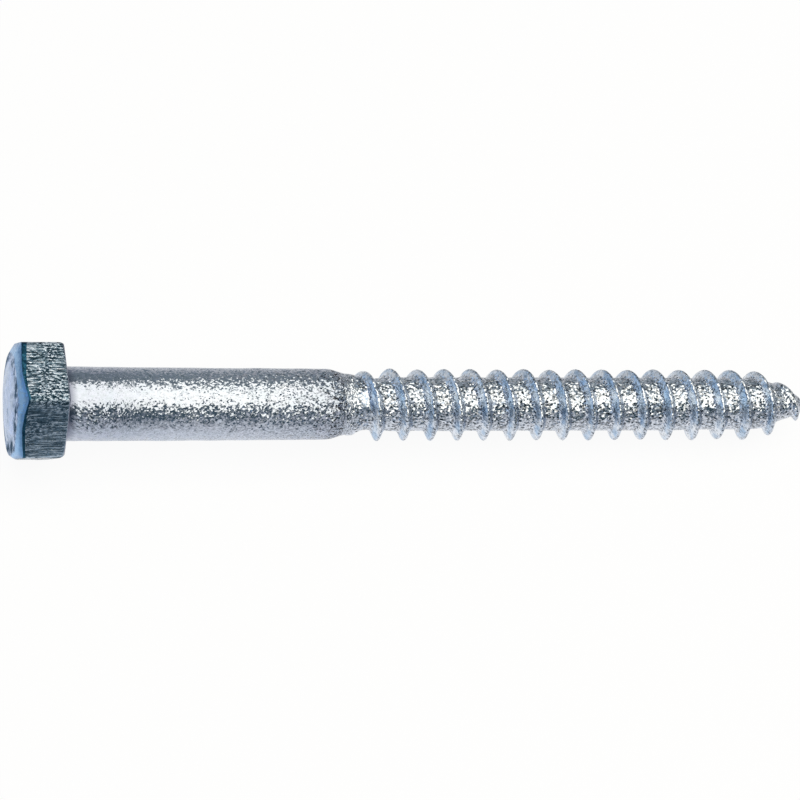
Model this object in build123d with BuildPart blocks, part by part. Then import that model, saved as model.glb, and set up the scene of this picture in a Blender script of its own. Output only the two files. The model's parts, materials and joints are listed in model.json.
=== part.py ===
from build123d import *
import os
from math import atan2, ceil, cos, floor, pi, radians, sin, sqrt, tan

# Lag screw: a hexagon head, a plain shank and a coarse wood thread that runs out on a gimlet
# point, forged and rolled from one piece of steel wire. Sizes are in millimetres.
#
# The screw lies as it would come to rest, on the edge of one flat of its head and on one crest
# of its thread. The origin is the centre of the shank where it meets the underside of the head.
# The axis leaves the head along +X and droops a little, because the head is wider than the
# thread. A station is a distance along the axis, counted from the underside of the head.

os.makedirs("parts", exist_ok=True)

# --- head ---------------------------------------------------------------------------------
across_flats = 14.7
head_height = 7.75
crown_diameter = 9.8
crown_rise = 0.45
bevel_diameter = 12.8
bevel_angle = 20.0  # below the level of the top, from the crown outwards
corner_cut_angle = 45.0  # the steeper cut past the bevel, which takes the corners off
corner_radius = 0.5
underside_edge_radius = 0.4
head_offset = 0.4  # the head was forged a little to one side of the shank

# --- shank --------------------------------------------------------------------------------
shank_diameter = 9.5
shank_length = 34.6
neck_flare = 0.4  # the small flare where the shank meets the underside of the head
blank_diameter = 8.0  # the bare wire between the shank and the first turn of the thread
shank_taper_length = 2.3
blank_length = 0.9
groove_taper_length = 1.4

# --- thread -------------------------------------------------------------------------------
length = 100.75
pitch = 25.4 / 7
crest_diameter = 9.55
root_diameter = 7.1
crest_width = 0.35
flank_angle = 60.0  # between the two sides of the ridge
ridge_begin = 36.05
begin_angle = -17.0  # round the axis from straight up, where the ridge begins
run_in_length = 4.35  # over which the ridge rises to its full height
point_length = 9.15
tip_length = 1.3  # the bare tip past the end of the ridge
run_out_length = 1.1
foot_share = 0.88  # the ridge's foot is sunk in the core, to this share of the core's radius

# --- how finely the thread is drawn ---------------------------------------------------------
faces_per_turn = 4
cones_in_point = 4

# --- worked out from these ------------------------------------------------------------------
root_radius = root_diameter / 2
ridge_depth = (crest_diameter - root_diameter) / 2
ridge_end = length - tip_length
point_start = length - point_length
corner_distance = across_flats / sqrt(3)
taper_end = shank_length + shank_taper_length
blank_end = taper_end + blank_length


def core_radius(station):
    """Radius of the core that carries the ridge: straight, then a parabola down to the tip."""
    into_point = min(max(station - point_start, 0), point_length)
    return root_radius * (1 - (into_point / point_length) ** 2)


def crest_radius(station):
    """Radius of the ridge's crest, which rises by the shank and falls away near the tip."""
    rise = (station - ridge_begin) / run_in_length
    fall = (ridge_end - station) / run_out_length
    return core_radius(station) + ridge_depth * max(min(rise, fall, 1), 0)


def ridge_angle(station):
    """Where the ridge stands round the axis, in radians from straight up, right-handed."""
    return radians(begin_angle) + 2 * pi * (station - ridge_begin) / pitch


# --- how it lies ------------------------------------------------------------------------------
# One crest on the underside carries the threaded end, so it sets how far the axis droops.
first_underside = ridge_begin + (0.5 - begin_angle / 360) * pitch
underside_count = floor((ridge_end - first_underside) / pitch) + 1
underside_crests = [first_underside + turn * pitch for turn in range(underside_count)]
droop = min(
    atan2(across_flats / 2 - crest_radius(station), station + underside_edge_radius)
    for station in underside_crests
)

ahead = Vector(cos(droop), 0, -sin(droop))  # from the head to the tip
up = Vector(sin(droop), 0, cos(droop))
shank_centre = Vector(0, 0, 0)
head_centre = Vector(0, head_offset, 0)

screw_plane = Plane(origin=shank_centre, x_dir=up, z_dir=ahead)
screw_profile_plane = Plane(origin=shank_centre, x_dir=ahead, z_dir=Vector(0, -1, 0))
head_plane = Plane(origin=head_centre, x_dir=up, z_dir=-ahead)
head_profile_plane = Plane(origin=head_centre, x_dir=-ahead, z_dir=Vector(0, 1, 0))


# --- the ridge of the thread --------------------------------------------------------------------
# Four lines turn round the axis: the two edges of the crest and the two edges of the foot,
# which is sunk below the surface of the core. Ruled faces join each line to the next.
BACK, FRONT = -1, 1
ridge_lines = [("foot", BACK), ("crest", BACK), ("crest", FRONT), ("foot", FRONT)]


def ridge_point(station, line):
    """A point on one of the ridge's four lines, at the angle that the ridge has at a station."""
    level, side = line
    radius = crest_radius(station)
    reach = crest_width / 2
    if level == "foot":
        sunk_depth = radius - foot_share * core_radius(station)
        reach += sunk_depth * tan(radians(flank_angle / 2))
        radius = foot_share * core_radius(station + side * reach)
    angle = ridge_angle(station)
    across = Vector(radius * cos(angle), radius * sin(angle), station + side * reach)
    return screw_plane.from_local_coords(across)


def ridge_slope(station, line):
    """How one of the ridge's lines moves on, per millimetre of station."""
    nudge = pitch / 1000
    return (ridge_point(station + nudge, line) - ridge_point(station - nudge, line)) / (2 * nudge)


def ridge_edge(start, stop, line):
    """The stretch of one of the ridge's lines between two stations, as a single smooth arc."""
    turn = 2 * pi * (stop - start) / pitch
    handle = (stop - start) * 4 / 3 * tan(turn / 4) / turn
    first, last = ridge_point(start, line), ridge_point(stop, line)
    leave, arrive = ridge_slope(start, line), ridge_slope(stop, line)
    return Edge.make_bezier(first, first + leave * handle, last - arrive * handle, last)


face_count = ceil((ridge_end - ridge_begin) / pitch * faces_per_turn)
face_length = (ridge_end - ridge_begin) / face_count
ridge_faces = []
for face in range(face_count):
    start = ridge_begin + face * face_length
    edges = [ridge_edge(start, start + face_length, line) for line in ridge_lines]
    for edge, next_edge in zip(edges, edges[1:] + edges[:1]):
        ridge_faces.append(Face.make_surface_from_curves(edge, next_edge))
for station in (ridge_begin, ridge_end):
    corners = [ridge_point(station, line) for line in ridge_lines]
    ridge_faces.append(Face(Wire.make_polygon(corners, close=True)))
ridge = Solid(Shell(ridge_faces))

# --- the screw ------------------------------------------------------------------------------------
with BuildPart() as lag_screw:
    # The hexagon, trimmed from a round forged head.
    with BuildSketch(head_plane) as hexagon:
        RegularPolygon(radius=across_flats / 2, side_count=6, major_radius=False, rotation=30)
        fillet(hexagon.vertices(), radius=corner_radius)
    extrude(amount=head_height)

    # A low crown, a bevel round it and a steeper cut that takes the corners off.
    with BuildSketch(head_profile_plane):
        with BuildLine():
            crown_edge = (head_height - crown_rise, crown_diameter / 2)
            bevel_width = (bevel_diameter - crown_diameter) / 2
            bevel_edge = (crown_edge[0] - bevel_width * tan(radians(bevel_angle)), bevel_diameter / 2)
            cut_width = corner_distance - bevel_diameter / 2
            cut_edge = (bevel_edge[0] - cut_width * tan(radians(corner_cut_angle)), corner_distance)
            crown = TangentArc((head_height, 0), crown_edge, tangent=(0, 1))
            Polyline(crown @ 1, bevel_edge, cut_edge, (0, corner_distance), (0, 0), crown @ 0)
        make_face()
    revolve(axis=Axis(head_centre, -ahead), mode=Mode.INTERSECT)

    # The edge round the underside of the head.
    underside = lag_screw.faces().sort_by(Axis(head_centre, ahead))[-1]
    fillet(underside.outer_wire().edges(), radius=underside_edge_radius)

    # The shank, the bare wire, the core of the thread and the point, turned about the axis.
    with BuildSketch(screw_profile_plane):
        with BuildLine():
            point_rings = [(ring + 1) / cones_in_point for ring in range(cones_in_point)]
            point_stations = [point_start + point_length * share for share in point_rings]
            Polyline(
                (-head_height / 2, 0),
                (-head_height / 2, shank_diameter / 2 + neck_flare),
                (0, shank_diameter / 2 + neck_flare),
                (neck_flare, shank_diameter / 2),
                (shank_length, shank_diameter / 2),
                (taper_end, blank_diameter / 2),
                (blank_end, blank_diameter / 2),
                (blank_end + groove_taper_length, root_radius),
                (point_start, root_radius),
                *[(station, core_radius(station)) for station in point_stations],
                close=True,
            )
        make_face()
    revolve(axis=Axis(shank_centre, ahead))

    add(ridge)

lag_screw.part.label = "lag_screw"
export_step(lag_screw.part, "parts/lag_screw.step")
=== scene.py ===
import json
import math

import bpy
import numpy as np
from mathutils import Matrix, Vector


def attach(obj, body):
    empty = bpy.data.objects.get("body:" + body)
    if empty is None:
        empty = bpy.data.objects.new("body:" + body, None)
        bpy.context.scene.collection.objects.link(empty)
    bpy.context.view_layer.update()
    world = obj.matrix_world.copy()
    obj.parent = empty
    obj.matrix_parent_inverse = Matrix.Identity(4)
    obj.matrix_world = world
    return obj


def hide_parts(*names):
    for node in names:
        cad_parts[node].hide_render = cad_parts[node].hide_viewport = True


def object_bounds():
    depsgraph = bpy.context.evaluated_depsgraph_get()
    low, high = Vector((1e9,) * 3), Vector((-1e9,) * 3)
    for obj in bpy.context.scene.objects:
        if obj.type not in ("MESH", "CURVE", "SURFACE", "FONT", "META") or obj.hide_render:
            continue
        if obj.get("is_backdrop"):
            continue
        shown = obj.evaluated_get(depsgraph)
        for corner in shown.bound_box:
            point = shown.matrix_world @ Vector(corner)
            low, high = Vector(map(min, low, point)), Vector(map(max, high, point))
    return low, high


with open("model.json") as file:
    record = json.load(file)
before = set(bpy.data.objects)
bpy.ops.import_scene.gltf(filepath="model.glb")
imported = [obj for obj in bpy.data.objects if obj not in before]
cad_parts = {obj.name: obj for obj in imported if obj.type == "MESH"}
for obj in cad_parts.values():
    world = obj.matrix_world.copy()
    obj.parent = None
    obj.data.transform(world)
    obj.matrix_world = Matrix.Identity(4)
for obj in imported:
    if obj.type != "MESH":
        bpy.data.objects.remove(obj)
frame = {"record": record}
cad_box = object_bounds()

bl_info = {
    "name": "Lag screw",
    "version": (1, 0, 0),
    "blender": (4, 5, 0),
    "location": "View3D > Sidebar > Lag screw",
    "description": "A zinc-plated hexagon lag screw with its plating, on a studio table",
    "category": "Object",
}

MM = 0.001
SEAT = -0.21  # where the bearing face stands along the screw, in millimetres
COLUMNS = 120  # points in each ring round the screw
SIXTH = math.pi / 3.0  # a sixth of a turn, from one flat of the head to the next


# --- settings ---


def length_setting(name, text, default_mm):
    """A length in the sidebar, given here in millimetres."""
    return bpy.props.FloatProperty(
        name=name, description=text, default=default_mm * MM, min=0.0, precision=5, unit="LENGTH"
    )


def share_setting(name, text, default, top=1.0):
    """A plain share in the sidebar."""
    return bpy.props.FloatProperty(
        name=name, description=text, default=default, min=0.0, max=top, subtype="FACTOR"
    )


def colour_setting(name, text, default):
    """A colour in the sidebar."""
    return bpy.props.FloatVectorProperty(
        name=name, description=text, default=default, min=0.0, max=1.0, size=3, subtype="COLOR"
    )


class LagScrewHead(bpy.types.PropertyGroup):
    """Sizes of the hexagon head."""

    across_flats: length_setting("Across flats", "Between two opposite flats", 14.42)
    height: length_setting("Height", "From the bearing face to the middle of the crown", 6.66)
    crown_diameter: length_setting("Crown diameter", "Across the low crown", 9.6)
    crown_rise: length_setting("Crown rise", "How far the middle of the crown stands up", 0.32)
    bevel_diameter: length_setting("Bevel diameter", "Across the bevel round the crown", 12.85)
    bevel_drop: length_setting("Bevel drop", "How far the bevel falls away", 0.24)
    rim_height: length_setting("Rim height", "Height of a flat, in its middle", 5.45)
    corner_radius: length_setting("Corner radius", "Rounding of the six upright edges", 0.5)
    edge_drop: length_setting("Edge drop", "Height of the rounding by the bearing face", 0.4)
    edge_inset: length_setting("Edge inset", "Width of the rounding by the bearing face", 0.33)
    offset: length_setting("Offset", "How far the head sits to one side of the shank", 0.44)
    lean: length_setting("Lean", "How much higher the top stands at its front", 0.35)


class LagScrewShank(bpy.types.PropertyGroup):
    """Sizes of the plain shank."""

    diameter: length_setting("Diameter", "Across the shank by the head", 9.36)
    thinning: length_setting("Thinning", "How much thinner the shank is at its far end", 0.28)
    length: length_setting("Length", "From the head to the shoulder", 34.57)
    shoulder: length_setting("Shoulder", "Length of the slope down to the bare wire", 2.9)
    wire_diameter: length_setting("Wire diameter", "Across the bare wire at the shoulder", 7.86)
    neck_radius: length_setting("Neck radius", "Rounding between the head and the shank", 0.45)


class LagScrewThread(bpy.types.PropertyGroup):
    """Sizes of the rolled thread and the gimlet point."""

    length: length_setting("Length", "From the head to the tip", 101.17)
    pitch: length_setting("Pitch", "From one crest to the next", 25.4 / 7)
    crest_diameter: length_setting("Crest diameter", "Across the crests", 9.34)
    root_diameter: length_setting("Root diameter", "Across the core between the crests", 6.94)
    crest_width: length_setting("Crest width", "Width of the crest before rounding", 0.34)
    root_fillet: length_setting("Root fillet", "Rounding where the ridge meets the core", 0.42)
    point_length: length_setting("Point length", "Length of the tapering point", 9.15)
    flank_angle: bpy.props.FloatProperty(
        name="Flank angle",
        description="Between the two sides of the ridge",
        default=math.radians(56.0),
        subtype="ANGLE",
    )


class LagScrewFinish(bpy.types.PropertyGroup):
    """Colours and grain of the zinc plating, with the painted shade of the lip and the collar."""

    plate_colour: colour_setting("Plate", "Zinc plate", (0.49, 0.53, 0.65))
    cool_colour: colour_setting("Cool film", "Where the clear film is thick", (0.42, 0.52, 0.64))
    dull_colour: colour_setting("Dull film", "Where the plate is dull", (0.36, 0.43, 0.47))
    flat_colour: colour_setting("Flats", "Scuffed plate on the flats", (0.16, 0.26, 0.37))
    bright_colour: colour_setting("Scrapes", "Bare bright scrapes on the flats", (0.78, 0.87, 1.0))
    grime_colour: colour_setting("Grime", "Dark residue in the scuffs", (0.012, 0.035, 0.055))
    rolled_colour: colour_setting("Rolled plate", "Sides of the thread", (0.9, 0.94, 1.0))
    teal_colour: colour_setting("Teal film", "Thicker film on the thread's sides", (0.3, 0.49, 0.74))
    # The core's colour is also laid along the middle of the shank as painted light.
    core_colour: colour_setting("Core plate", "Between the turns of the thread", (0.84, 0.88, 0.98))
    crown_colour: colour_setting("Crown", "Blue film on top of the head", (0.45, 0.59, 0.9))
    strip_colour: colour_setting("Bevel", "Pale blue film on the bevel", (0.31, 0.52, 0.8))
    rim_colour: colour_setting("Rim", "Deeper blue film round the rim", (0.17, 0.33, 0.58))
    # The lip's colour is painted shade on the lip under the rim; it also marks the crease round the
    # crown and the stains on the flats.
    lip_shade_and_mark_colour: colour_setting("Lip", "Dark film on the lip under the rim", (0.02, 0.085, 0.15))
    # The collar's colour is painted shade on the neck and the bearing face.
    collar_shade_colour: colour_setting("Collar", "Dull plate round the neck", (0.2, 0.22, 0.3))
    grain: length_setting("Grain", "Size of the zinc crystals", 0.17)
    tilt: share_setting("Tilt", "How far the crystals lean from the surface", 0.4)


class LagScrewStudio(bpy.types.PropertyGroup):
    """The table, the lamps and the room."""

    table_colour: colour_setting("Table", "Colour of the table top", (0.9, 0.9, 0.9))
    table_size: length_setting("Table size", "Width of the table top", 8000.0)
    softbox_colour: colour_setting("Softbox colour", "Colour of the lamp overhead", (1.0, 0.92, 0.77))
    softbox_strength: share_setting("Softbox", "Brightness of the lamp overhead", 1.75, 10.0)
    room_strength: share_setting("Room", "Brightness of the room around", 1.0, 4.0)


SETTINGS = {
    "head": LagScrewHead,
    "shank": LagScrewShank,
    "thread": LagScrewThread,
    "finish": LagScrewFinish,
    "studio": LagScrewStudio,
}


def settings(group):
    """One group of settings, as kept with the scene."""
    return getattr(bpy.context.scene, "lag_screw_" + group)


def sizes_in_mm(group):
    """The lengths of one group of settings in millimetres, other numbers as they are."""
    found = {}
    kept = settings(group)
    for name, prop in kept.bl_rna.properties.items():
        if name in ("rna_type", "name"):
            continue
        value = getattr(kept, name)
        found[name] = value / MM if prop.unit == "LENGTH" else value
    return found


# --- how the screw lies ---


def axes_of_screw():
    """Ahead along the screw, up from it, and towards the front, read from the record."""
    mount = next(m for m in frame["record"]["mounts"] if m["name"] == "under_head")
    ahead = Vector(mount["axis"]).normalized()
    front = Vector((0.0, -1.0, 0.0))
    up = front.cross(ahead).normalized()
    return ahead, up, front


# --- curves that shape the screw ---


def ease(start, stop, value):
    """Rises smoothly from 0 at start to 1 at stop."""
    share = np.clip((value - start) / (stop - start), 0.0, 1.0)
    return share * share * (3.0 - 2.0 * share)


def blunt_min(a, b, rounding):
    """The lesser of two heights, with the corner between them rounded."""
    overlap = np.maximum(rounding - np.abs(a - b), 0.0) / rounding
    return np.minimum(a, b) - overlap * overlap * rounding / 4.0


def blunt_max(a, b, rounding):
    """The greater of two heights, with the corner between them rounded."""
    return -blunt_min(-a, -b, rounding)


def hump(value, middle, width):
    """1 at a middle value, falling away smoothly on both sides of it."""
    return np.exp(-(((value - middle) / width) ** 2))


def toward(side, angle):
    """How far an angle faces a side given in degrees: 1 towards it, -1 away from it."""
    return np.cos(angle - math.radians(side))


def unevenness(angle, station, waves, seed):
    """A gentle uneven swell between about -1 and 1, which closes round the screw."""
    draw = np.random.RandomState(seed)
    swell = np.zeros(np.broadcast(angle, station).shape)
    for wave in range(waves):
        turns = draw.randint(0, 4)
        length = draw.uniform(3.0, 14.0)
        phase = draw.uniform(0.0, 2.0 * math.pi)
        swell = swell + np.sin(turns * angle + 2.0 * math.pi * station / length + phase)
    return swell / math.sqrt(waves)


def hexagon_radius(angle, head):
    """Distance from the head's centre to its side, with rounded upright edges."""
    half_flat = head["across_flats"] / 2.0
    from_flat = (angle + SIXTH / 2.0) % SIXTH - SIXTH / 2.0
    flat = half_flat / np.cos(from_flat)
    rounding = head["corner_radius"]
    centre = (half_flat - rounding) / math.cos(SIXTH / 2.0)
    from_corner = SIXTH / 2.0 - np.abs(from_flat)
    inside = np.maximum(rounding**2 - (centre * np.sin(from_corner)) ** 2, 0.0)
    rounded = centre * np.cos(from_corner) + np.sqrt(inside)
    tangent = math.atan((half_flat - rounding) * math.tan(SIXTH / 2.0) / half_flat)
    return np.where(np.abs(from_flat) > tangent, rounded, flat)


# --- marks of forging, rolling and wear ---
#
# Lengths are in millimetres. A station is a length along the screw, counted from under its
# head. A side is in degrees round the screw, from straight up towards the front.

HIGH_SIDE = 32.0  # where the top of the head stands highest
WIDE_SIDE = 122.0  # where the bevel and the crests reach furthest out
WORN_SIDE = 115.0  # where the bearing edge is rounded most
COARSE_SIDE = 60.0  # where the crystals are coarsest by the head
NICK_STATION = 37.82  # the dent on the shoulder
NICK_SIDE = 118.0
PRESSED_STATION = 38.9  # where the crystals are pressed flat
PRESSED_SIDE = 24.0
WAIST = 40.47  # where the core was rolled a little thinner
THINNING = (80.9, 88.9)  # over which the core thins again
PINCH = 97.77  # where the point was pinched off

# How deeply the forging die cut back each corner of the head, going round from the corner on
# the front of the top flat.
CORNER_CUTS = (0.6, 0.35, 1.0, 0.9, 1.1, 0.25)
# How far down each corner the smooth rolled-over lip reaches before the tool's streaks begin.
LIP_DEPTHS = (0.3, 0.42, 0.4, 0.4, 0.5, 0.75)
# How hard the tool scraped each flat, going round from the one on top.
FLAT_WEAR = (1.0, 0.35, 0.7, 0.9, 0.6, 0.8)
NECK_GRAIN = 0.15  # how far the crystals stand out round the neck


def lean_of_top(radius, angle, head):
    """The top of the head was struck a little askew: it stands higher towards the front."""
    furthest = head["across_flats"] / math.sqrt(3.0)
    return head["lean"] * radius / furthest * toward(HIGH_SIDE, angle)


def rim_height(angle, head):
    """Height of the sharp edge round the top of the flats, lower where a corner is cut back."""
    half_flat = head["across_flats"] / 2.0
    reach = hexagon_radius(angle, head)
    furthest = float(hexagon_radius(np.array([SIXTH / 2.0]), head)[0])
    share = np.clip((reach - half_flat) / (furthest - half_flat), 0.0, 1.0)
    nearest_corner = np.floor((angle % (2.0 * math.pi)) / SIXTH).astype(int) % 6
    cut = np.take(CORNER_CUTS, nearest_corner) * share**0.8
    return head["rim_height"] - cut + lean_of_top(reach, angle, head)


def blend_round(values, turn, start, stop):
    """Six values set round the head, each one passing into the next between two shares."""
    values = np.array(values)
    here = np.floor(turn).astype(int) % 6
    share = ease(start, stop, turn - np.floor(turn))
    return values[here] * (1.0 - share) + values[(here + 1) % 6] * share


def lip_depth(angle):
    """How far the smooth lip reaches below the rim, least in the middle of each flat."""
    depth = blend_round(LIP_DEPTHS, (angle / SIXTH - 0.5) % 6.0, 0.0, 1.0)
    return depth - 0.12 * np.cos(3.0 * (angle % SIXTH) - math.pi / 2.0) ** 2


def wear_of_flats(angle):
    """How hard the flat at each angle was scraped, passing quickly across the corners."""
    return blend_round(FLAT_WEAR, (angle / SIXTH) % 6.0, 0.4, 0.65)


def into_point(station, thread):
    """How far down the point a station lies, as a share of the point's length."""
    start = thread["length"] - thread["point_length"]
    return np.clip(station - start, 0.0, None) / thread["point_length"]


def wire_radius(station, shank, thread):
    """Radius of the shank, the bare wire, the core of the thread and the point."""
    plain = shank["diameter"] / 2.0 - shank["thinning"] / 2.0 * station / shank["length"]
    wire = shank["wire_diameter"] / 2.0
    root = thread["root_diameter"] / 2.0
    shoulder_end = shank["length"] + shank["shoulder"]
    radius = plain + (wire - plain) * ease(shank["length"], shoulder_end, station)
    radius = radius + (root - wire) * ease(shoulder_end + 0.2, shoulder_end + 2.2, station)
    radius = radius - 0.16 * hump(station, WAIST, 2.2) - 0.10 * ease(*THINNING, station)
    return radius * np.maximum(1.0 - into_point(station, thread) ** 2.4, 0.0)


RIDGE_BEGIN = 36.42  # station where the ridge starts to rise
RIDGE_BEGIN_ANGLE = math.radians(-17.0)  # round the axis from straight up
RUN_IN = 4.35  # length over which it rises
RIDGE_END = 99.77  # station where it has run out
RUN_OUT = 0.35  # length over which it falls away again
CREST_ROUNDING = 0.34  # how softly the crest turns into the sides of the ridge


def ridge_depth(thread):
    """Height of the full ridge above the core."""
    return (thread["crest_diameter"] - thread["root_diameter"]) / 2.0


def crest_height(station, thread):
    """Height of the ridge above the core it was rolled on, for a crest at a station."""
    rise = np.clip((station - RIDGE_BEGIN) / RUN_IN, 0.0, 1.0)
    fall = np.clip((RIDGE_END - station) / RUN_OUT, 0.0, 1.0)
    dip = 0.3 * hump(station, PINCH, 0.8) + 0.12 * ease(PINCH + 0.3, PINCH + 2.1, station)
    return ridge_depth(thread) * rise * fall * (1.0 - dip)


def nominal_core(station, thread):
    """Core radius that the crests are measured from, without the rolled unevenness."""
    root = thread["root_diameter"] / 2.0
    return root * np.maximum(1.0 - into_point(station, thread) ** 2, 0.0)


def stretch_at_point(station):
    """The last half turn was pushed forward as the point was pinched off."""
    back = -0.38 * hump(station, PINCH - 0.3, 0.7)
    forward = 0.33 * ease(PINCH + 0.1, PINCH + 1.0, station)
    return back + forward * (1.0 - ease(PINCH + 2.1, PINCH + 3.3, station))


# --- the skin of the screw ---


def neighbours(ring):
    """Each point of a ring with the one after it, all the way round."""
    return zip(ring, ring[1:] + ring[:1])


class Skin:
    """Points, faces and marks of the closed mesh, gathered ring by ring."""

    def __init__(self):
        self.points = []
        self.faces = []
        self.parts = []
        self.side_marks = []
        self.grain_marks = []
        self.rim_marks = []
        self.part = 0
        self.angles = np.arange(COLUMNS) * 2.0 * math.pi / COLUMNS

    def add_points(self, radius, angle, station, shift=0.0, side=0.0, grain=0.5, rim=0.0):
        """Adds points given round the axis and returns their numbers. Shift moves the head."""
        radius, angle, station, side, grain, rim = np.broadcast_arrays(
            radius, angle, station, side, grain, rim
        )
        first = len(self.points)
        up = radius * np.cos(angle)
        front = radius * np.sin(angle) - shift
        self.points.extend(zip(up.tolist(), front.tolist(), station.tolist()))
        self.side_marks.extend(side.tolist())
        self.grain_marks.extend(grain.tolist())
        self.rim_marks.extend(rim.tolist())
        return list(range(first, first + len(up)))

    def add_face(self, *corners):
        self.faces.append(corners)
        self.parts.append(self.part)

    def join(self, ring, next_ring):
        """A band of faces between two full rings."""
        for (a, b), (c, d) in zip(neighbours(ring), neighbours(next_ring)):
            self.add_face(a, b, d, c)

    def grow(self, previous, radius, station, shift=0.0, **marks):
        """Adds a full ring of points and joins it to the ring before it."""
        ring = self.add_points(radius, self.angles, station, shift, **marks)
        self.join(previous, ring)
        return ring


HEAD_TOP, WRENCH_FLATS, SHANK_AND_THREAD = range(3)


def swell_of_top(radius, angles):
    """Gentle unevenness struck into the top of the head."""
    waves = np.sin(3.0 * angles + 0.9 * radius) * np.cos(angles - 0.6 * radius)
    return 0.035 * waves * ease(1.0, 5.0, radius)


def rings_of_top(head, angles):
    """Radius, station and rim mark of each ring, from the crown out to the edge of the flats."""
    crown_radius = head["crown_diameter"] / 2.0
    bevel_radius = head["bevel_diameter"] / 2.0 + 0.35 * toward(WIDE_SIDE, angles)
    edge = crown_radius + 0.08 * np.sin(2.0 * angles + 1.0) + 0.05 * np.sin(5.0 * angles)
    outline = hexagon_radius(angles, head)
    rim = rim_height(angles, head)
    rings = []
    for share in (0.12, 0.25, 0.4, 0.55, 0.7, 0.82, 0.9, 0.96):
        radius = crown_radius * share
        level = head["crown_rise"] * share**2 - head["height"]
        level = level + swell_of_top(radius, angles) - lean_of_top(radius, angles, head)
        rings.append((radius, level, 0.0))
    for share in (0.0, 0.2, 0.45, 0.7, 0.9, 1.0):
        radius = edge + (bevel_radius - edge) * share
        fall = head["crown_rise"] + 0.05 * (1.0 - share) + head["bevel_drop"] * share
        level = fall - head["height"] + swell_of_top(crown_radius, angles)
        level = level - lean_of_top(radius, angles, head)
        rings.append((radius, level, 0.25 * share))
    bevel_level = level
    for share in (0.12, 0.35, 0.6, 0.82, 0.94):
        bulge = 0.02 * math.sin(math.pi * share)
        radius = bevel_radius + (outline - bevel_radius) * share + bulge
        level = bevel_level + (-rim - bevel_level) * share - bulge
        rings.append((radius, level, 0.25 + 0.5 * share))
    return rings


def crown_and_bevel(skin, head):
    """The top of the head, from its middle out to the edge of the flats."""
    skin.part = HEAD_TOP
    middle = skin.add_points([0.0], [0.0], [-head["height"]], head["offset"])[0]
    first, *others = rings_of_top(head, skin.angles)
    ring = skin.add_points(first[0], skin.angles, first[1], head["offset"], rim=first[2])
    for here, after in neighbours(ring):
        skin.add_face(middle, after, here)
    for radius, level, rim_mark in others:
        ring = skin.grow(ring, radius, level, head["offset"], rim=rim_mark)
    return ring


def wrench_flats(skin, head, ring):
    """The smooth lip under the rim, then the six flats down to the edge by the bearing face."""
    angles = skin.angles
    outline = hexagon_radius(angles, head)
    rim = rim_height(angles, head)
    lip = lip_depth(angles)
    for share in (0.0, 0.2, 0.6, 1.0):
        pull = -0.02 * (1.0 - share) ** 4
        # Rim marks from 0.8 up give these rings the lip's painted shade.
        rim_mark = 0.8 + 0.2 * min(share * 5.0, 1.0)
        ring = skin.grow(ring, outline + pull, -rim + lip * share, head["offset"], rim=rim_mark)
    skin.part = WRENCH_FLATS
    wear = wear_of_flats(angles)
    length = rim - lip - edge_drop(angles, head)
    for share in (0.03, 0.2, 0.35, 0.5, 0.65, 0.8, 0.92, 1.0):
        station = -rim + lip + length * share
        dents = 0.03 * unevenness(angles, station * 1.7, 5, 11) * math.sin(math.pi * share)
        ring = skin.grow(ring, outline + dents, station, head["offset"], grain=wear)
    return ring


def worn_side(angle):
    """1 where the bearing edge is rounded most, falling away round the head."""
    return hump(angle, math.radians(WORN_SIDE), 0.6)


def edge_drop(angle, head):
    """How far up the flats the rounding of the bearing edge reaches, more at the corners."""
    reach = hexagon_radius(angle, head) - head["across_flats"] / 2.0
    return head["edge_drop"] * (1.0 + 0.9 * reach + 0.6 * worn_side(angle))


def edge_inset(angle, head):
    """How far in from the flats the rounding of the bearing edge reaches."""
    return head["edge_inset"] * (1.0 + 1.6 * worn_side(angle))


def bearing_edge(skin, head, ring):
    """The rounded edge by the bearing face, where the streaks of the flats die out and the collar's
    painted shade begins.
    """
    angles = skin.angles
    outline = hexagon_radius(angles, head)
    drop = edge_drop(angles, head)
    inset = edge_inset(angles, head)
    for degrees in (15.0, 30.0, 45.0, 60.0, 75.0, 90.0):
        turn = math.radians(degrees)
        radius = outline - inset * (1.0 - math.cos(turn))
        station = -drop * (1.0 - math.sin(turn))
        into_collar = ease(35.0, 65.0, degrees)
        wear = wear_of_flats(angles) * (1.0 - into_collar) + NECK_GRAIN * into_collar
        if degrees > 45.0:
            skin.part = SHANK_AND_THREAD
        ring = skin.grow(ring, radius, station, head["offset"], grain=wear, rim=into_collar)
    return ring


def bearing_face(skin, head, shank, ring):
    """The flat face that bears on the work, and the small rounding from it to the shank."""
    angles = skin.angles
    face_edge = hexagon_radius(angles, head) - edge_inset(angles, head)
    neck = shank["neck_radius"] * (1.0 + 0.35 * toward(HIGH_SIDE, angles))
    shank_radius = shank["diameter"] / 2.0
    # A rim mark of 1 lays the collar's painted shade on these rings.
    for share in (0.35, 0.7, 1.0):
        radius = face_edge + (shank_radius + neck - face_edge) * share
        shift = head["offset"] * (1.0 - share)
        ring = skin.grow(ring, radius, 0.0, shift, grain=NECK_GRAIN, rim=1.0)
    for degrees in (30.0, 60.0, 90.0):
        turn = math.radians(degrees)
        radius = shank_radius + neck * (1.0 - math.sin(turn))
        station = neck * (1.0 - math.cos(turn))
        bow = shank_bow(station, shank)
        ring = skin.grow(ring, radius, station, bow, grain=NECK_GRAIN, rim=1.0)
    return ring


def shank_bow(station, shank):
    """The shank is bent very slightly, towards the back by the head."""
    return 0.09 * np.maximum(1.0 - station / (0.6 * shank["length"]), 0.0) ** 2


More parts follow.
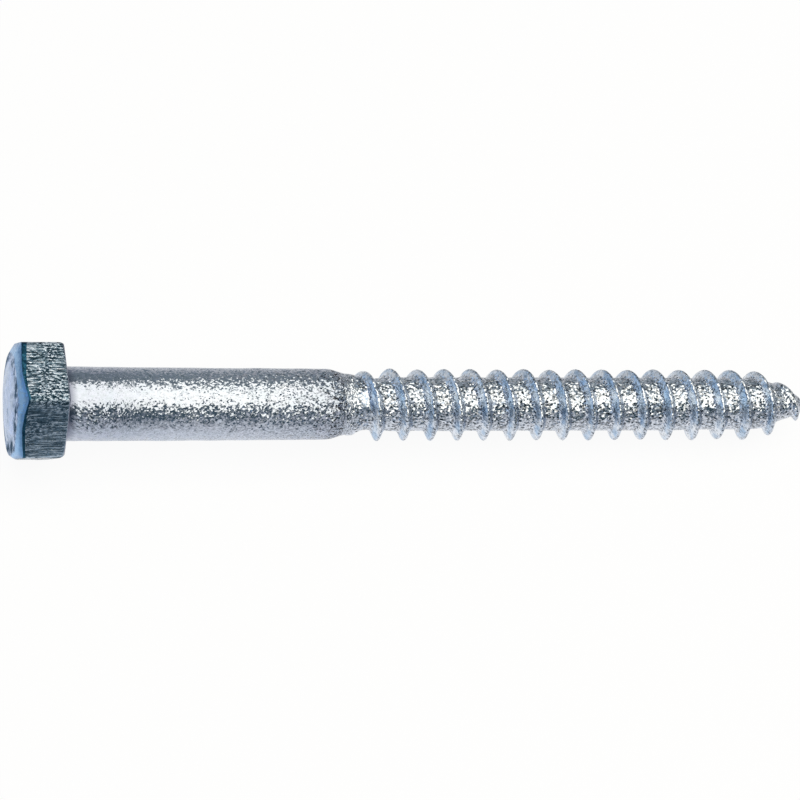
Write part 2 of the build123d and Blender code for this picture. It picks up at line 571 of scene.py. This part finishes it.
def plain_shank(skin, shank, thread, ring):
    """The shank and its shoulder, as far as the place where the ridge begins."""
    angles = skin.angles
    start = 1.35 * shank["neck_radius"]
    stop = RIDGE_BEGIN - 0.35
    bend = shank["length"] - 1.5
    for station in [*np.linspace(start, bend, 34)[1:], *np.linspace(bend, stop, 10)[1:]]:
        radius = wire_radius(station, shank, thread) + shank_swell(angles, station)
        radius = radius - shoulder_nick(angles, station)
        bow = shank_bow(station, shank)
        grain = shank_grain(angles, station, shank)
        ring = skin.grow(ring, radius, station, bow, grain=grain)
    return ring, stop


def shoulder_nick(angle, station):
    """A small dent that the rolling left at the end of the shank."""
    round_it = hump(angle, math.radians(NICK_SIDE), 0.075)
    return 0.26 * hump(station, NICK_STATION, 0.28) * round_it


def shank_grain(angle, station, shank):
    """The crystals stand out more and more towards the thread, and most on the shoulder."""
    coarse = 0.75 * hump(angle, math.radians(COARSE_SIDE), 0.4) - 0.12
    by_head = (1.0 - ease(1.0, 10.0, station)) * ease(0.5, 1.5, station)
    along = 0.42 + by_head * coarse + 0.4 * ease(0.0, shank["length"], station)
    return along + 0.45 * ease(shank["length"] - 1.5, shank["length"] + 1.2, station)


def shank_swell(angle, station):
    """Slight unevenness of the drawn wire."""
    return 0.016 * unevenness(angle, station, 6, 5) * ease(0.5, 3.0, station)


def ridge_rows(thread):
    """Where the rows of points lie across one pitch, measured from the crest."""
    half = thread["pitch"] / 2.0
    beside = [0.08, 0.16, 0.23, 0.31, 0.41, 0.52, 0.63, 0.74, 0.84, 0.94, 1.06, 1.22, 1.45]
    return np.array([-x for x in reversed(beside)] + [0.0] + beside + [half])


def crest_wear(angle, station):
    """How far the worn crest stands out, most on the side where it was rolled wide."""
    return 0.05 * unevenness(angle, station, 7, 23) + (0.11 * toward(WIDE_SIDE, angle) - 0.03)


def rolled_share(across, crest_station):
    """How smooth the dies left the ridge: its sides are, its crest and its last turn are not."""
    on_crest = ease(-0.32, -0.1, across) * (1.0 - ease(0.3, 0.55, across))
    last_turn = ease(96.0, 97.0, crest_station)
    return (1.0 - 0.85 * on_crest) * (1.0 - 0.8 * last_turn)


def ridge_surface(angle, station, across, shank, thread):
    """Radius of the threaded part, how far it is rolled smooth, and how its crystals stand out."""
    crest_station = station - across
    core = wire_radius(station, shank, thread) + shank_swell(angle, station)
    height = crest_height(crest_station, thread)
    full = ridge_depth(thread)
    crest = nominal_core(crest_station, thread) + height
    crest = crest + crest_wear(angle, crest_station) * height / full
    unfilled = (full - height) * (1.0 - ease(RIDGE_BEGIN + 3.0, RIDGE_BEGIN + 6.0, crest_station))
    slope = 1.0 / math.tan(thread["flank_angle"] / 2.0)
    beside = np.abs(across) - thread["crest_width"] / 2.0
    flank = crest + 0.75 * unfilled - slope * beside
    ridge = blunt_min(crest, flank, CREST_ROUNDING)
    sunk = np.where(height > 0.0, ridge, core - 1.0)
    radius = blunt_max(core, sunk, thread["root_fillet"])
    above = radius - core
    smooth = np.clip((above - 0.15) / (0.35 * full), 0.0, 1.0) * rolled_share(across, crest_station)
    grain = 0.95 - 0.7 * np.clip(unfilled / full, 0.0, 1.0) * ease(0.0, 0.3, above)
    return radius, smooth, grain * (1.0 - 0.85 * pressed_patch(angle, station))


def pressed_patch(angle, station):
    """Where the rolling die first bit, between the first two turns, the crystals lie flat."""
    return hump(station, PRESSED_STATION, 1.1) * hump(angle, math.radians(PRESSED_SIDE), 0.42)


def threaded_part(skin, shank, thread, ring, start):
    """The thread: its rows of points follow the crest round, so the crest lies along one row of points
    without steps.
    """
    pitch = thread["pitch"]
    rows = ridge_rows(thread)
    turns = np.arange(-2, int(thread["length"] / pitch) + 2)
    across = np.tile(rows, len(turns))
    stop = thread["length"] - 0.35
    gap = 0.1  # left free between the thread's rows and the rings at its two ends
    columns = []
    for angle in skin.angles:
        first_crest = RIDGE_BEGIN + pitch * (angle - RIDGE_BEGIN_ANGLE) / (2.0 * math.pi)
        stations = (first_crest + pitch * turns[:, None] + rows[None, :]).ravel()
        inside = np.nonzero((stations > start + gap) & (stations < stop - gap))[0]
        radius, smooth, grain = ridge_surface(
            angle, stations[inside], across[inside], shank, thread
        )
        moved = stations[inside] + stretch_at_point(stations[inside])
        numbers = skin.add_points(radius, angle, moved, 0.0, smooth, grain)
        columns.append(dict(zip(inside.tolist(), numbers)))
    last = skin.add_points(wire_radius(stop, shank, thread), skin.angles, stop)
    join_columns(skin, columns, ring, last, len(rows))
    return last, stop


def join_columns(skin, columns, ring, last, turn_rows):
    """Faces all round the thread, from the ring before it to the ring after it."""
    for column in range(COLUMNS):
        after = (column + 1) % COLUMNS
        here = columns[column]
        there = columns[after]
        if after == 0:
            there = {row - turn_rows: number for row, number in there.items()}
        weave(skin, here, there)
        skin.add_face(ring[column], ring[after], there[min(there)], here[min(here)])
        skin.add_face(here[max(here)], there[max(there)], last[after], last[column])


def weave(skin, here, there):
    """Faces between two neighbouring columns of the thread, which may differ by a few rows."""
    low, high = max(min(here), min(there)), min(max(here), max(there))
    for row in range(low, high):
        skin.add_face(here[row], there[row], there[row + 1], here[row + 1])
    for row in range(min(there), low):
        skin.add_face(here[low], there[row], there[row + 1])
    for row in range(high, max(here)):
        skin.add_face(here[row], there[high], here[row + 1])
    for row in range(min(here), low):
        skin.add_face(here[row], there[low], here[row + 1])
    for row in range(high, max(there)):
        skin.add_face(here[high], there[row], there[row + 1])


def tip(skin, shank, thread, ring, start):
    """The last bit of the point, closed by one point at the end."""
    for share in (0.45, 0.8):
        station = start + (thread["length"] - start) * share
        ring = skin.grow(ring, wire_radius(station, shank, thread), station)
    end = skin.add_points([0.0], [0.0], [thread["length"]])[0]
    for here, after in neighbours(ring):
        skin.add_face(here, after, end)


def skin_of_screw():
    """The whole closed skin of the screw, from the crown to the tip."""
    head, shank, thread = sizes_in_mm("head"), sizes_in_mm("shank"), sizes_in_mm("thread")
    skin = Skin()
    ring = crown_and_bevel(skin, head)
    ring = wrench_flats(skin, head, ring)
    ring = bearing_edge(skin, head, ring)
    ring = bearing_face(skin, head, shank, ring)
    ring, station = plain_shank(skin, shank, thread, ring)
    ring, station = threaded_part(skin, shank, thread, ring, station)
    tip(skin, shank, thread, ring, station)
    return skin


def mesh_from_skin(name, skin):
    """Lays the skin along the screw's axis and makes the mesh, in metres."""
    ahead, up, front = (np.array(axis) for axis in axes_of_screw())
    local = np.array(skin.points)
    placed = local[:, :1] * up + local[:, 1:2] * front + (local[:, 2:] + SEAT) * ahead
    mesh = bpy.data.meshes.new(name)
    mesh.from_pydata((placed * MM).tolist(), [], skin.faces)
    mesh.polygons.foreach_set("material_index", skin.parts)
    mesh.polygons.foreach_set("use_smooth", [True] * len(skin.faces))
    for mark_name, marks in (
        ("thread_side", skin.side_marks),
        ("crystal_share", skin.grain_marks),
        ("rim_share", skin.rim_marks),
    ):
        mark = mesh.attributes.new(mark_name, "FLOAT", "POINT")
        mark.data.foreach_set("value", marks)
    mesh.update()
    if mesh.validate():
        raise RuntimeError("the skin of the screw has faulty faces")
    return mesh


# --- node groups ---


def new_group(name, inputs, outputs):
    """An empty shader node group, with the sockets it is given and those it puts out."""
    group = bpy.data.node_groups.new(name, "ShaderNodeTree")
    for way, sockets in (("INPUT", inputs), ("OUTPUT", outputs)):
        for socket_name, kind in sockets.items():
            kind = "NodeSocket" + kind
            group.interface.new_socket(socket_name, in_out=way, socket_type=kind)
    given = group.nodes.new("NodeGroupInput").outputs
    put = group.nodes.new("NodeGroupOutput").inputs
    return group, given, put


def feed(tree, socket, source):
    """Links a socket, or sets its value when the source is a plain number or colour."""
    if isinstance(source, bpy.types.NodeSocket):
        tree.links.new(source, socket)
    else:
        socket.default_value = source


def new_node(tree, kind, fed=None, **options):
    """A node with its options set and its inputs fed by name or by place."""
    node = tree.nodes.new("ShaderNode" + kind)
    for option, value in options.items():
        setattr(node, option, value)
    for socket, source in (fed or {}).items():
        feed(tree, node.inputs[socket], source)
    return node


def math_node(tree, operation, first, second=0.5, clamp=False):
    """A Math node fed by sockets or plain numbers; returns its output."""
    fed = {0: first, 1: second}
    return new_node(tree, "Math", fed, operation=operation, use_clamp=clamp).outputs[0]


def product(tree, first, second, clamp=False):
    """Two values multiplied."""
    return math_node(tree, "MULTIPLY", first, second, clamp)


def mix_values(tree, share, first, second):
    """Mixes two plain values and returns the result."""
    return new_node(tree, "Mix", {0: share, 2: first, 3: second}).outputs[0]


def mix_colours(tree, share, first, second, blend="MIX"):
    """Mixes two colours and returns the result."""
    fed = {0: share, 6: first, 7: second}
    return new_node(tree, "Mix", fed, data_type="RGBA", blend_type=blend).outputs[2]


def spread(tree, value, low, high, to_low=0.0, to_high=1.0):
    """Stretches a value from one range to another, clamped."""
    fed = dict(enumerate((value, low, high, to_low, to_high)))
    return new_node(tree, "MapRange", fed).outputs["Result"]


def between(tree, share, at_none, at_full):
    """Passes from one value to another as a share goes from 0 to 1."""
    return spread(tree, share, 0.0, 1.0, at_none, at_full)


def band(tree, value, middle, half_width, softness):
    """1 within a band round a middle value, falling softly to 0 outside it."""
    away = math_node(tree, "ABSOLUTE", math_node(tree, "SUBTRACT", value, middle))
    return spread(tree, away, half_width, half_width - softness)


def vector_node(tree, operation, first, second=(0.0, 0.0, 0.0)):
    """A Vector Math node fed by sockets or plain vectors; returns its output."""
    fed = {0: first, 3 if operation == "SCALE" else 1: second}
    return new_node(tree, "VectorMath", fed, operation=operation).outputs[0]


def scaled(tree, vector, size):
    """A position divided by a size, so that one unit is one grain."""
    return vector_node(tree, "SCALE", vector, math_node(tree, "DIVIDE", 1.0, size))


def lengthwise(tree, length):
    """A vector that scales along the screw only."""
    return new_node(tree, "CombineXYZ", {0: length, 1: 1.0, 2: 1.0}).outputs[0]


def noise(tree, vector, scale, detail=2.0, roughness=0.5, output="Fac"):
    """A noise texture; returns its value, or its colour if that is asked for."""
    fed = {"Vector": vector, "Scale": scale, "Detail": detail, "Roughness": roughness}
    return new_node(tree, "TexNoise", fed).outputs[output]


def cells(tree, vector, scale):
    """A texture of cells that each have a colour of their own; returns its outputs."""
    return new_node(tree, "TexVoronoi", {"Vector": vector, "Scale": scale}).outputs


def draw_of(tree, cell):
    """One number for each cell, between 0 and 1."""
    return new_node(tree, "SeparateColor", {0: cell["Color"]}).outputs[0]


def zinc_crystals():
    """Fine crystals of zinc, each leaning its own way, with a tone for each one."""
    group, given, put = new_group(
        "Zinc crystals",
        {"Position": "Vector", "Grain": "Float", "Tilt": "Float", "Clumping": "Float"},
        {"Normal": "Vector", "Tone": "Float", "Pits": "Float"},
    )
    at = scaled(group, given["Position"], given["Grain"])
    at = vector_node(group, "MULTIPLY", at, (0.75, 1.0, 1.0))
    crystals = cells(group, at, 1.0)
    even = (0.5, 0.5, 0.5)
    lean = vector_node(group, "SUBTRACT", crystals["Color"], even)
    drift = vector_node(group, "SUBTRACT", noise(group, at, 0.45, output="Color"), even)
    clumps = vector_node(group, "SCALE", drift, given["Clumping"])
    leaning = vector_node(group, "ADD", lean, clumps)
    tilted = vector_node(group, "SCALE", leaning, product(group, given["Tilt"], 2.0))
    surface = new_node(group, "NewGeometry").outputs["Normal"]
    turned = vector_node(group, "NORMALIZE", vector_node(group, "ADD", surface, tilted))
    pits = cells(group, at, 0.6)
    hole = spread(group, pits["Distance"], 0.42, 0.26)
    here_and_there = spread(group, draw_of(group, pits), 0.35, 0.4)
    feed(group, put["Normal"], turned)
    feed(group, put["Tone"], draw_of(group, crystals))
    feed(group, put["Pits"], product(group, hole, here_and_there))
    return group


def film_tint():
    """The clear film over the zinc: broad cool and dull patches with finer mottling."""
    colours = dict.fromkeys(("Plate", "Cool", "Dull"), "Color")
    shares = dict.fromkeys(("Patch", "Coolness", "Dullness"), "Float")
    group, given, put = new_group(
        "Film tint", {"Position": "Vector", **colours, **shares}, {"Color": "Color"}
    )
    at = scaled(group, given["Position"], given["Patch"])
    broad = spread(group, noise(group, at, 1.0, 3.0, 0.6), 0.38, 0.62)
    fine = spread(group, noise(group, at, 7.0, 3.0, 0.6), 0.42, 0.66)
    cool_share = product(group, broad, given["Coolness"], True)
    dull_share = product(group, fine, given["Dullness"], True)
    tinted = mix_colours(group, cool_share, given["Plate"], given["Cool"])
    feed(group, put["Color"], mix_colours(group, dull_share, tinted, given["Dull"]))
    return group


def drawn_streaks():
    """Streaks that run along the screw, as a tool leaves on the flats."""
    group, given, put = new_group(
        "Drawn streaks",
        {"Position": "Vector", "Width": "Float", "Length": "Float"},
        {"Relief": "Float"},
    )
    at = scaled(group, given["Position"], given["Width"])
    drawn = vector_node(group, "DIVIDE", at, lengthwise(group, given["Length"]))
    feed(group, put["Relief"], noise(group, drawn, 1.0, 3.0, 0.6))
    return group


# --- materials ---


CLUMPING = 1.6  # how strongly neighbouring crystals lean the same way


class Plating:
    """One plated finish: a material with its position, groups and shader ready to link."""

    def __init__(self, name, groups):
        self.material = bpy.data.materials.new(name)
        self.material.use_nodes = True
        self.tree = self.material.node_tree
        self.shader = self.tree.nodes["Principled BSDF"]
        self.shader.inputs["Metallic"].default_value = 1.0
        self.position = new_node(self.tree, "TexCoord").outputs["Object"]
        self.groups = groups
        self.finish = settings("finish")

    def place(self, name, **values):
        """Places a node group and feeds its inputs by name."""
        fed = {"Position": self.position} | values
        return new_node(self.tree, "Group", fed, node_tree=self.groups[name])

    def mark(self, name):
        """A mark kept with the points of the mesh."""
        return new_node(self.tree, "Attribute", attribute_name=name).outputs["Fac"]

    def mottle(self, scale, detail, roughness=0.5):
        """Uneven patches over the surface, about one to each 1 / scale metres."""
        return noise(self.tree, self.position, scale, detail, roughness)

    def tint(self, patch, coolness, dullness, plate, cool):
        """The plate's colour under its clear film, in patches of a size in metres."""
        node = self.place(
            "tint",
            Patch=patch,
            Plate=(*plate, 1.0),
            Cool=(*cool, 1.0),
            Dull=(*self.finish.dull_colour, 1.0),
            Coolness=coolness,
            Dullness=dullness,
        )
        return node.outputs["Color"]

    def cover(self, colour, share, film):
        """Covers a colour with one of the finish's colours, by a share; the lip's and the collar's
        colours are painted shade.
        """
        return mix_colours(self.tree, share, colour, (*film, 1.0))

    def shade(self, colour, tone, strength):
        """Blackens the crystals of the lowest tones."""
        dark = spread(self.tree, tone, 0.14, 0.24, 0.03, 1.0)
        grey = new_node(self.tree, "CombineColor", {0: dark, 1: dark, 2: dark}).outputs[0]
        return mix_colours(self.tree, strength, colour, grey, "MULTIPLY")

    def raise_relief(self, height, depth, strength, under):
        """A Bump node of a depth in metres over another normal; returns its normal."""
        fed = {"Strength": strength, "Distance": depth, "Height": height, "Normal": under}
        return new_node(self.tree, "Bump", fed).outputs["Normal"]

    def finish_with(self, colour, roughness, normal):
        """Feeds the shader and returns the finished material."""
        fed = {"Base Color": colour, "Roughness": roughness, "Normal": normal}
        for name, source in fed.items():
            feed(self.tree, self.shader.inputs[name], source)
        return self.material


def head_top_plating(groups):
    """The smooth forged top of the head: blue film, deeper at the rim, with painted shade on its lip.
    """
    made = Plating("plated_head_top", groups)
    tree = made.tree
    finish = made.finish
    wander = spread(tree, made.mottle(700.0, 4.0, 0.6), 0.3, 0.7, -0.07, 0.07)
    rim = math_node(tree, "ADD", made.mark("rim_share"), wander)
    patches = spread(tree, made.mottle(620.0, 5.0, 0.7), 0.42, 0.56, 0.0, 0.9)
    crease = product(tree, band(tree, rim, 0.17, 0.15, 0.1), patches)
    colour = made.tint(0.0022, 0.6, 0.3, finish.crown_colour, finish.cool_colour)
    # Dark patches along the crease between the crown and the bevel.
    colour = made.cover(colour, crease, finish.lip_shade_and_mark_colour)
    for start, stop, film in (
        (0.25, 0.33, finish.strip_colour),
        (0.46, 0.62, finish.rim_colour),
        # The last band is painted shade on the lip under the rim.
        (0.72, 0.84, finish.lip_shade_and_mark_colour),
    ):
        colour = made.cover(colour, spread(tree, rim, start, stop), film)
    rough = spread(tree, made.mottle(900.0, 3.0), 0.3, 0.7, 0.22, 0.36)
    rough = math_node(tree, "ADD", rough, product(tree, crease, 0.6))
    grain = made.place("crystals", Grain=finish.grain * 1.5, Tilt=finish.tilt * 0.22, Clumping=CLUMPING)
    normal = made.raise_relief(crease, 0.00012, 1.0, grain.outputs["Normal"])
    return made.finish_with(colour, rough, normal)


def wrench_flat_plating(groups):
    """The flats, streaked along the screw by the tool that sized them."""
    made = Plating("plated_wrench_flats", groups)
    tree = made.tree
    finish = made.finish
    wear = made.mark("crystal_share")
    lines = made.place("streaks", Width=0.0002, Length=16.0).outputs["Relief"]
    blots = made.place("streaks", Width=0.00026, Length=1.8).outputs["Relief"]
    worn = mix_values(tree, spread(tree, made.mottle(260.0, 1.0), 0.43, 0.57), lines, blots)
    stained = spread(tree, made.mottle(340.0, 2.0), 0.5, 0.58, 0.0, 0.5)
    grime = product(tree, spread(tree, worn, 0.52, 0.44), spread(tree, wear, 0.0, 0.6))
    scraped = product(tree, spread(tree, worn, 0.525, 0.58), wear)
    colour = made.tint(0.0014, 0.3, 0.6, finish.flat_colour, finish.cool_colour)
    colour = made.cover(colour, stained, finish.lip_shade_and_mark_colour)
    colour = made.cover(colour, grime, finish.grime_colour)
    colour = made.cover(colour, scraped, finish.bright_colour)
    rough = spread(tree, worn, 0.42, 0.58, 0.3, 0.08)
    grain = made.place("crystals", Grain=finish.grain, Tilt=finish.tilt * 0.3, Clumping=CLUMPING)
    normal = made.raise_relief(worn, 0.00031, wear, grain.outputs["Normal"])
    return made.finish_with(colour, rough, normal)


# Stretches along the screw, in metres, over which its finish changes.
BY_HEAD = (0.001, 0.009)
SPECKS_FADE = (0.006, 0.014)
SPECKS_RETURN = (0.024, 0.0354)
THREAD_STARTS = (0.0354, 0.0377)
CALMER_THREAD = (0.05, 0.075)


class ShankPlating(Plating):
    """The shank and the core sparkle with crystals; the sides of the ridge were rolled smooth."""

    def __init__(self, groups):
        super().__init__("plated_shank_and_thread", groups)
        self.side = self.mark("thread_side")
        self.share = self.mark("crystal_share")
        self.along = new_node(self.tree, "SeparateXYZ", {0: self.position}).outputs[0]
        self.on_thread = spread(self.tree, self.along, *THREAD_STARTS)

    def drawn_by_head(self):
        """Position in which the crystals by the head lie aslant and are drawn out lengthwise."""
        turn = spread(self.tree, self.along, *BY_HEAD, -0.6, 0.0)
        fed = {"Vector": self.position, "Axis": (0.0, 1.0, 0.0), "Angle": turn}
        aslant = new_node(self.tree, "VectorRotate", fed).outputs[0]
        reach = lengthwise(self.tree, spread(self.tree, self.along, *BY_HEAD, 0.45, 1.0))
        return vector_node(self.tree, "MULTIPLY", aslant, reach)

    def crystals(self):
        """Crystals that are larger and steeper on the thread, and nearly flat on its sides."""
        tree = self.tree
        grain = self.finish.grain
        tilt = self.finish.tilt
        standing = product(tree, self.share, between(tree, self.side, 1.0, 0.28))
        standing = product(tree, standing, between(tree, self.on_thread, tilt, tilt * 1.15))
        calmer = spread(tree, self.along, *CALMER_THREAD, 1.0, 0.85)
        return self.place(
            "crystals",
            Position=self.drawn_by_head(),
            Grain=between(tree, self.on_thread, grain, grain * 1.22),
            Tilt=product(tree, standing, calmer),
            Clumping=between(tree, self.on_thread, CLUMPING, 1.1),
        )

    def plate(self):
        """Zinc plate, cleanest between the turns; along the middle of the shank it is lightened towards
        the core's colour as painted light.
        """
        tree = self.tree
        finish = self.finish
        plain = self.tint(0.003, 0.3, 0.4, finish.plate_colour, finish.cool_colour)
        core = self.tint(0.0016, 0.3, 0.35, finish.core_colour, finish.cool_colour)
        rolled = self.tint(0.0022, 0.8, 0.2, finish.rolled_colour, finish.teal_colour)
        # Painted light: the middle of the shank is lightened towards the core's colour.
        painted_light_band = product(tree, band(tree, self.along, 0.021, 0.015, 0.008), 0.3)
        core_and_painted_light_share = math_node(tree, "MAXIMUM", self.on_thread, painted_light_band)
        return mix_colours(tree, self.side, mix_colours(tree, core_and_painted_light_share, plain, core), rolled)

    def speckled(self, colour, crystals):
        """Darkens single crystals, and lays small black pits between the turns."""
        tree = self.tree
        most = between(tree, self.on_thread, 0.9, 0.7)
        least = spread(tree, self.along, *SPECKS_FADE, 0.75, 0.36)
        strength = spread(tree, self.along, *SPECKS_RETURN, least, most)
        rough_share = product(tree, self.share, between(tree, self.side, 1.0, 0.4))
        fewer = spread(tree, self.share, 0.4, 1.3, 0.12, -0.12)
        tone = math_node(tree, "ADD", crystals.outputs["Tone"], fewer)
        colour = self.shade(colour, tone, product(tree, rough_share, strength, True))
        pits = product(tree, crystals.outputs["Pits"], rough_share)
        pits = product(tree, pits, self.on_thread, True)
        return self.cover(colour, pits, self.finish.grime_colour)


def shank_and_thread_plating(groups):
    """From the collar round the neck to the tip."""
    made = ShankPlating(groups)
    crystals = made.crystals()
    colour = made.speckled(made.plate(), crystals)
    # Painted shade: the collar round the neck is darkened where the rim mark is set.
    colour = made.cover(colour, made.mark("rim_share"), made.finish.collar_shade_colour)
    sparkle = between(made.tree, crystals.outputs["Tone"], 0.12, 0.3)
    rough = mix_values(made.tree, made.side, sparkle, 0.26)
    return made.finish_with(colour, rough, crystals.outputs["Normal"])


# --- operators ---


class LAGSCREW_OT_make_screw(bpy.types.Operator):
    """Makes the plated screw: head, shank, thread and gimlet point in one closed skin"""

    bl_idname = "lagscrew.make_screw"
    bl_label = "Make screw"

    def execute(self, context):
        skin = skin_of_screw()
        mesh = mesh_from_skin("plated_screw", skin)
        screw = bpy.data.objects.new("plated_screw", mesh)
        context.scene.collection.objects.link(screw)
        groups = {
            "crystals": zinc_crystals(),
            "tint": film_tint(),
            "streaks": drawn_streaks(),
        }
        mesh.materials.append(head_top_plating(groups))
        mesh.materials.append(wrench_flat_plating(groups))
        mesh.materials.append(shank_and_thread_plating(groups))
        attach(screw, "root")
        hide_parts("lag_screw")
        return {"FINISHED"}


# --- the stage ---


def table_material():
    """A pale table top. What the camera and polished metal see of it is mostly its own white."""
    material = bpy.data.materials.new("pale_table")
    material.use_nodes = True
    tree = material.node_tree
    lit = tree.nodes["Principled BSDF"]
    lit.inputs["Base Color"].default_value = (*settings("studio").table_colour, 1.0)
    lit.inputs["Roughness"].default_value = 0.9
    lit.inputs["Specular IOR Level"].default_value = 0.0
    path = new_node(tree, "LightPath").outputs
    mirrored = math_node(tree, "MAXIMUM", path["Is Glossy Ray"], path["Is Transmission Ray"])
    seen = math_node(tree, "MAXIMUM", path["Is Camera Ray"], mirrored)
    facing = new_node(tree, "LayerWeight").outputs["Facing"]
    far_off = product(tree, math_node(tree, "POWER", facing, 1.5), path["Is Glossy Ray"])
    white = new_node(tree, "Emission", {"Strength": between(tree, far_off, 1.0, 0.36)})
    fed = {0: product(tree, seen, 0.93), 1: lit.outputs[0], 2: white.outputs[0]}
    both = new_node(tree, "MixShader", fed)
    feed(tree, tree.nodes["Material Output"].inputs["Surface"], both.outputs[0])
    return material


def make_table(low):
    """The table top, level with the lowest point of the screw."""
    reach = settings("studio").table_size / 2.0
    mesh = bpy.data.meshes.new("table")
    corners = [(-reach, -reach), (reach, -reach), (reach, reach), (-reach, reach)]
    mesh.from_pydata([(x, y, low) for x, y in corners], [], [(0, 1, 2, 3)])
    mesh.materials.append(table_material())
    table = bpy.data.objects.new("table", mesh)
    bpy.context.scene.collection.objects.link(table)
    table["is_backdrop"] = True


# The lamp overhead: where it hangs from the middle of the screw, and its width and depth, in
# metres.
SOFTBOX_PLACE = Vector((0.3, -0.09, 0.6))
SOFTBOX_SIZE = (1.5, 0.92)

# The room, in linear colours.
FRONT_WALL = (0.06, 0.10, 0.12, 1.0)
BACK_WALL = (0.24, 0.28, 0.29, 1.0)
NEAR_FLOOR = (0.42, 0.45, 0.5, 1.0)
HEAD_WALL = (0.6, 0.74, 0.9, 1.0)
HEAD_CEILING = (0.06, 0.12, 0.22, 1.0)

# The camera: how far round it stands from the front towards straight above, how far it is
# swung past the head's end, and where it is along, over and away from the origin. Lengths are
# in millimetres.
CAMERA_TILT = math.radians(57.7)
CAMERA_SWING = math.radians(17.17)
CAMERA_PLACE = (44.44, 0.535, 434.36)
SENSOR_WIDTH = 36.0
FOCAL_LENGTH = 151.695


def softbox(middle):
    """An even rectangular lamp over the screw, aimed straight down."""
    studio = settings("studio")
    width, depth = SOFTBOX_SIZE
    lamp = bpy.data.lights.new("softbox", "AREA")
    lamp.shape = "RECTANGLE"
    lamp.color = studio.softbox_colour
    lamp.size = width
    lamp.size_y = depth
    lamp.energy = studio.softbox_strength * math.pi * width * depth
    held = bpy.data.objects.new("softbox", lamp)
    held.location = middle + SOFTBOX_PLACE
    held.rotation_mode = "QUATERNION"
    held.rotation_quaternion = Vector((0.0, 0.0, -1.0)).to_track_quat("-Z", "Y")
    bpy.context.scene.collection.objects.link(held)


def room_light():
    """The room around the table: dim, bluer at the head end, darkest in front."""
    world = bpy.data.worlds.new("studio_room")
    bpy.context.scene.world = world
    world.use_nodes = True
    tree = world.node_tree
    background = tree.nodes["Background"]
    direction = new_node(tree, "TexCoord").outputs["Generated"]
    ahead, back, up = new_node(tree, "SeparateXYZ", {0: direction}).outputs
    walls = mix_colours(tree, spread(tree, back, -0.9, 0.9), FRONT_WALL, BACK_WALL)
    walls = mix_colours(tree, spread(tree, up, 0.2, 0.0), walls, NEAR_FLOOR)
    head_end = mix_colours(tree, spread(tree, up, 0.25, 0.55), HEAD_WALL, HEAD_CEILING)
    colour = mix_colours(tree, spread(tree, ahead, -0.2, -0.75), walls, head_end)
    feed(tree, background.inputs["Color"], colour)
    background.inputs["Strength"].default_value = settings("studio").room_strength


def studio_camera():
    """The camera looks down across the screw from past its head end."""
    ahead, up, front = axes_of_screw()
    towards = math.sin(CAMERA_TILT) * up + math.cos(CAMERA_TILT) * front
    image_up = math.cos(CAMERA_TILT) * up - math.sin(CAMERA_TILT) * front
    right = math.cos(CAMERA_SWING) * ahead + math.sin(CAMERA_SWING) * towards
    back = math.cos(CAMERA_SWING) * towards - math.sin(CAMERA_SWING) * ahead
    along, over, away = CAMERA_PLACE
    place = along * MM * ahead + over * MM * image_up + away * MM * back
    turn = Matrix((right, image_up, back)).transposed()
    lens = bpy.data.cameras.new("studio_camera")
    lens.sensor_width = SENSOR_WIDTH
    lens.lens = FOCAL_LENGTH
    lens.clip_start = 0.01
    lens.clip_end = 20.0
    camera = bpy.data.objects.new("studio_camera", lens)
    camera.matrix_world = Matrix.Translation(place) @ turn.to_4x4()
    bpy.context.scene.collection.objects.link(camera)
    bpy.context.scene.camera = camera


class LAGSCREW_OT_set_stage(bpy.types.Operator):
    """Sets the table, the lamp, the room and the camera"""

    bl_idname = "lagscrew.set_stage"
    bl_label = "Set stage"

    def execute(self, context):
        context.scene.view_settings.view_transform = "Standard"
        make_table(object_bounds()[0].z)
        low, high = cad_box
        softbox((low + high) / 2.0)
        room_light()
        studio_camera()
        return {"FINISHED"}


class LAGSCREW_PT_sidebar(bpy.types.Panel):
    """The screw's settings and operators in the sidebar"""

    bl_label = "Lag screw"
    bl_idname = "LAGSCREW_PT_sidebar"
    bl_space_type = "VIEW_3D"
    bl_region_type = "UI"
    bl_category = "Lag screw"

    def draw(self, context):
        for group, kind in SETTINGS.items():
            box = self.layout.box()
            box.label(text=group.capitalize())
            kept = settings(group)
            for name in kind.__annotations__:
                box.prop(kept, name)
        self.layout.operator(LAGSCREW_OT_make_screw.bl_idname)
        self.layout.operator(LAGSCREW_OT_set_stage.bl_idname)


OPERATORS = (LAGSCREW_OT_make_screw, LAGSCREW_OT_set_stage)


def register():
    for kind in (*SETTINGS.values(), *OPERATORS, LAGSCREW_PT_sidebar):
        bpy.utils.register_class(kind)
    for group, kind in SETTINGS.items():
        setattr(bpy.types.Scene, "lag_screw_" + group, bpy.props.PointerProperty(type=kind))


def unregister():
    for group in SETTINGS:
        delattr(bpy.types.Scene, "lag_screw_" + group)
    for kind in (LAGSCREW_PT_sidebar, *reversed(OPERATORS), *reversed(SETTINGS.values())):
        bpy.utils.unregister_class(kind)


def main():
    register()
    bpy.ops.lagscrew.make_screw()
    bpy.ops.lagscrew.set_stage()


if __name__ == "__main__":
    main()
